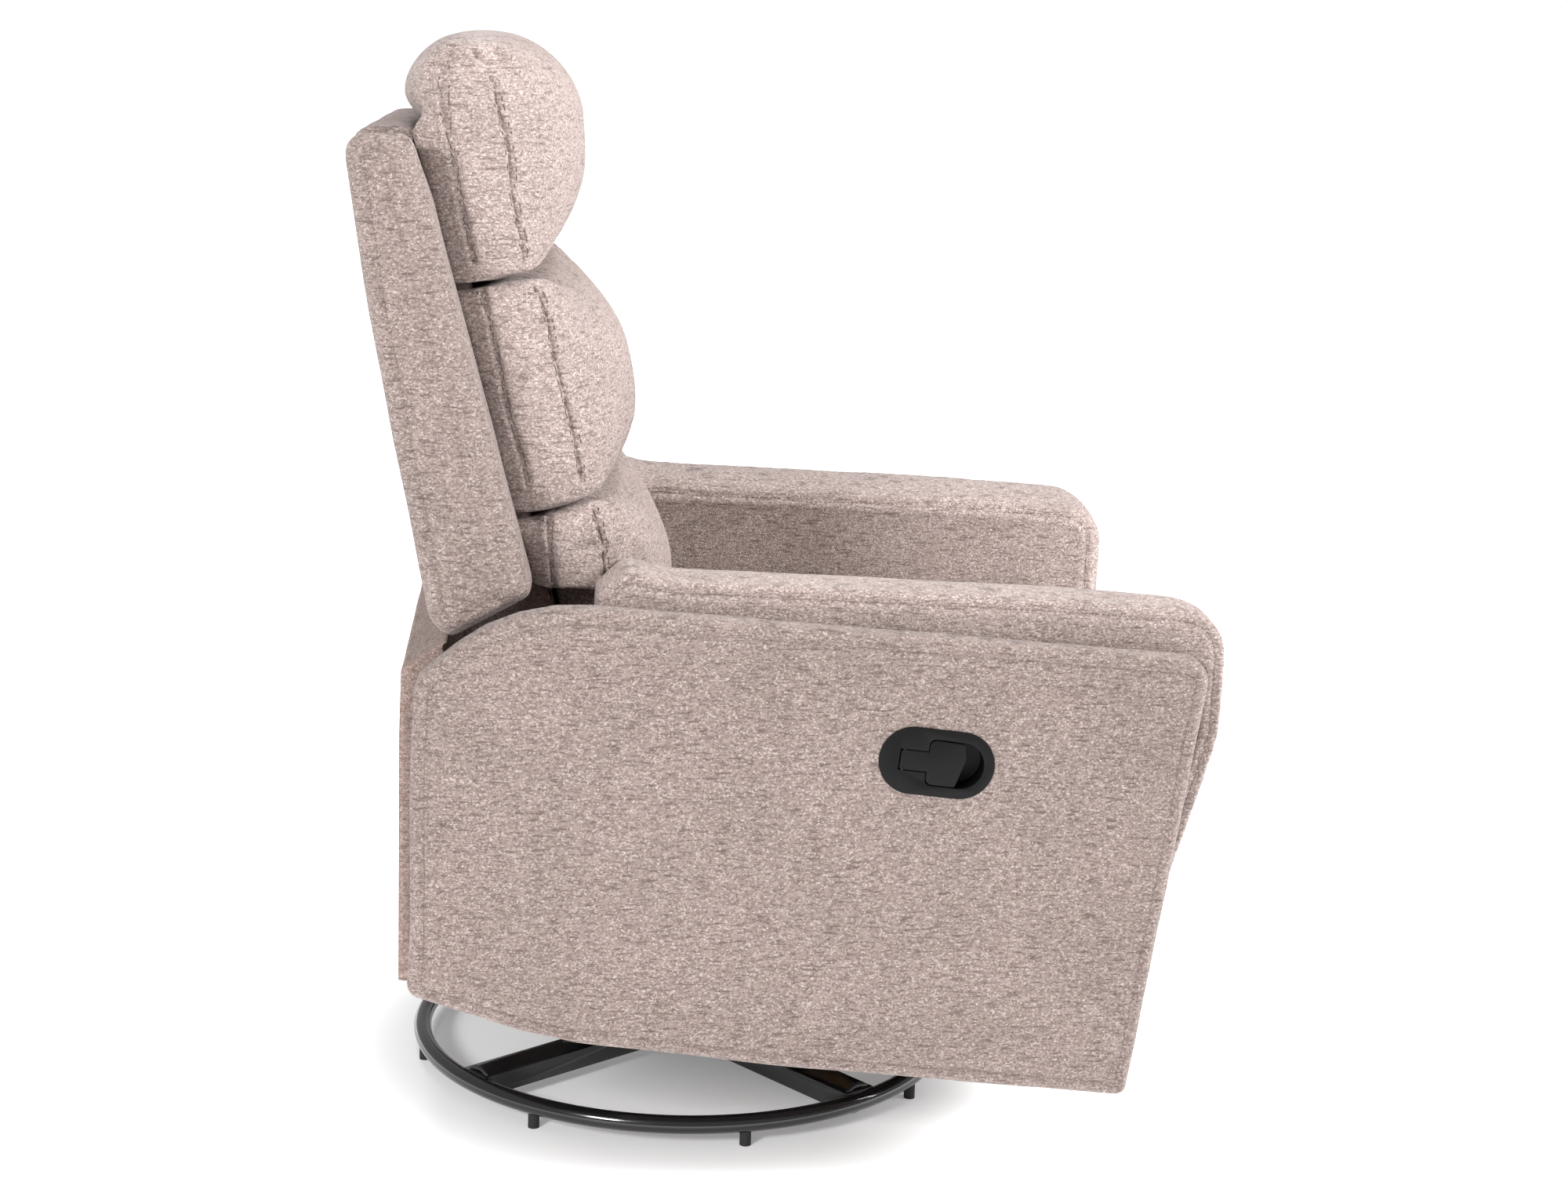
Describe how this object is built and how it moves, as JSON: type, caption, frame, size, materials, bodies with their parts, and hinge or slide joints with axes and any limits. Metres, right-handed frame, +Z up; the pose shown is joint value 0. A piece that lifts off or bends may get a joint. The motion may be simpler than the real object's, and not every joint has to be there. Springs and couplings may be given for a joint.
{
  "type": "glider nursery chair",
  "caption": "Upholstered swivel glider recliner for a nursery, with padded arms, stacked back pillows, fold-out footrest and a round tubular base.",
  "frame": {"origin": "centre of the bounding box's bottom face, on the floor between the ring's feet", "axes": "+Z up, -Y towards the front of the seat, -X on the sitter's right, where the release handle is"},
  "size_m": [0.7285, 0.788, 1.03],
  "materials": {
    "cushion_fabric": "soft pinkish-taupe chenille",
    "panel_fabric": "pinkish-taupe chenille over board",
    "deck_cloth": "black felt deck cloth",
    "timber": "raw sawn board",
    "base_gloss": "gloss black powder coat",
    "mechanism_steel": "satin black coat",
    "zinc_steel": "zinc plated",
    "foot_rubber": "matt black",
    "handle_plastic": "fine matt black moulding"
  },
  "bodies": {
    "base": {"base_ring": "base_gloss", "base_cross": "base_gloss", "ring_feet": "foot_rubber", "lower_plate": "mechanism_steel", "swivel_post": "zinc_steel", "bearing_ring": "zinc_steel"},
    "swivel_stand": {"upper_plate": "mechanism_steel", "stand_uprights": "mechanism_steel", "stand_bolts": "zinc_steel", "hanger_pins": "zinc_steel"},
    "front_links": {"front_glide_links": "mechanism_steel"},
    "rear_links": {"rear_glide_links": "mechanism_steel"},
    "back": {"back_stiles": "timber", "back_rails": "timber", "back_springs": "zinc_steel", "back_hinge_plates": "mechanism_steel", "back_cover": "panel_fabric", "back_wing_left": "panel_fabric", "back_wing_right": "panel_fabric", "head_pillow": "cushion_fabric", "mid_pillow": "cushion_fabric", "lumbar_pillow": "cushion_fabric"},
    "skirt": {"rear_skirt": "panel_fabric"},
    "release": {"release_paddle": "handle_plastic"},
    "kick": {"kick_lever": "zinc_steel"},
    "scissor_a": {"scissor_links_a": "mechanism_steel", "scissor_tube": "mechanism_steel", "scissor_pins_a": "zinc_steel"},
    "scissor_b": {"scissor_links_b": "mechanism_steel"},
    "scissor_c": {"scissor_links_c": "mechanism_steel", "scissor_pins_c": "zinc_steel"},
    "scissor_d": {"scissor_links_d": "mechanism_steel"},
    "flip": {"flip_links": "mechanism_steel"},
    "footrest": {"footrest_hinges": "mechanism_steel", "footrest_board": "timber", "footrest_pad": "cushion_fabric"},
    "carriage": {"glide_rails": "mechanism_steel", "carrier_pins": "zinc_steel", "cross_beams": "mechanism_steel", "seat_side_rails": "timber", "seat_cross_rails": "timber", "seat_lip": "timber", "seat_springs": "zinc_steel", "seat_deck": "deck_cloth", "seat_cushion": "cushion_fabric", "side_panel_left": "panel_fabric", "side_panel_right": "panel_fabric", "arm_frame_left": "timber", "arm_frame_right": "timber", "arm_pad_left": "cushion_fabric", "arm_pad_right": "cushion_fabric", "footrest_brackets": "mechanism_steel", "footrest_pivot_pins": "zinc_steel", "seat_hinge_plates": "mechanism_steel", "recline_pins": "zinc_steel", "hinge_bolts": "zinc_steel", "handle_bezel": "handle_plastic", "handle_pin": "zinc_steel", "release_cable": "handle_plastic", "kick_bracket": "mechanism_steel"}
  },
  "joints": [
    {"name": "swivel_turn", "type": "hinge", "parent": "base", "child": "swivel_stand", "pos_m": [0, 0.07118, 0.045], "axis": [0, 0, 1], "continuous": true},
    {"name": "glide", "type": "hinge", "parent": "swivel_stand", "child": "front_links", "pos_m": [0, -0.03882, 0.215], "axis": [-1, 0, 0], "range_deg": [-14, 14]},
    {"name": "rear_link_swing", "type": "hinge", "parent": "swivel_stand", "child": "rear_links", "pos_m": [0, 0.18118, 0.215], "axis": [-1, 0, 0], "range_deg": [-14, 14]},
    {"name": "carriage_hang", "type": "hinge", "parent": "front_links", "child": "carriage", "pos_m": [0, -0.03882, 0.115], "axis": [-1, 0, 0], "range_deg": [-14, 14]},
    {"name": "recline", "type": "hinge", "parent": "carriage", "child": "back", "pos_m": [0, 0.20118, 0.415], "axis": [-1, 0, 0], "range_deg": [0, 30]},
    {"name": "skirt_hang", "type": "hinge", "parent": "back", "child": "skirt", "pos_m": [0, 0.3073, 0.499], "axis": [-1, 0, 0], "range_deg": [-30, 0]},
    {"name": "footrest_fold", "type": "hinge", "parent": "carriage", "child": "scissor_a", "pos_m": [0, -0.22733, 0.315], "axis": [-1, 0, 0], "range_deg": [0, 70]},
    {"name": "scissor_b_turn", "type": "hinge", "parent": "scissor_a", "child": "scissor_b", "pos_m": [0, -0.24125, 0.21597], "axis": [-1, 0, 0], "range_deg": [-140, 0]},
    {"name": "scissor_c_turn", "type": "hinge", "parent": "scissor_a", "child": "scissor_c", "pos_m": [0, -0.25516, 0.11695], "axis": [-1, 0, 0], "range_deg": [-140, 0]},
    {"name": "scissor_d_turn", "type": "hinge", "parent": "scissor_c", "child": "scissor_d", "pos_m": [0, -0.26908, 0.21597], "axis": [-1, 0, 0], "range_deg": [0, 140]},
    {"name": "flip_turn", "type": "hinge", "parent": "scissor_d", "child": "flip", "pos_m": [0, -0.27354, 0.18429], "axis": [-1, 0, 0], "range_deg": [-140, 0]},
    {"name": "footrest_turn", "type": "hinge", "parent": "scissor_c", "child": "footrest", "pos_m": [0, -0.283, 0.315], "axis": [-1, 0, 0], "range_deg": [0, 167.6]},
    {"name": "release_pull", "type": "hinge", "parent": "carriage", "child": "release", "pos_m": [-0.3619, -0.10016, 0.41114], "axis": [0, 0.1045, -0.9945], "range_deg": [0, 25], "stiffness_Nm_per_rad": 0.3, "springref_deg": -5.73},
    {"name": "kick_turn", "type": "hinge", "parent": "carriage", "child": "kick", "pos_m": [0, -0.18259, 0.21421], "axis": [-1, 0, 0], "range_deg": [-15, 0]}
  ],
  "couplings": [
    {"joint": "rear_link_swing", "follows": "glide", "ratio": 1},
    {"joint": "carriage_hang", "follows": "glide", "ratio": -1},
    {"joint": "skirt_hang", "follows": "recline", "ratio": -1},
    {"joint": "scissor_b_turn", "follows": "footrest_fold", "ratio": -2},
    {"joint": "scissor_c_turn", "follows": "footrest_fold", "ratio": -2},
    {"joint": "scissor_d_turn", "follows": "footrest_fold", "ratio": 2},
    {"joint": "flip_turn", "follows": "footrest_fold", "ratio": -2},
    {"joint": "footrest_turn", "follows": "footrest_fold", "ratio": 2.3943},
    {"joint": "kick_turn", "follows": "release_pull", "ratio": -0.6}
  ]
}
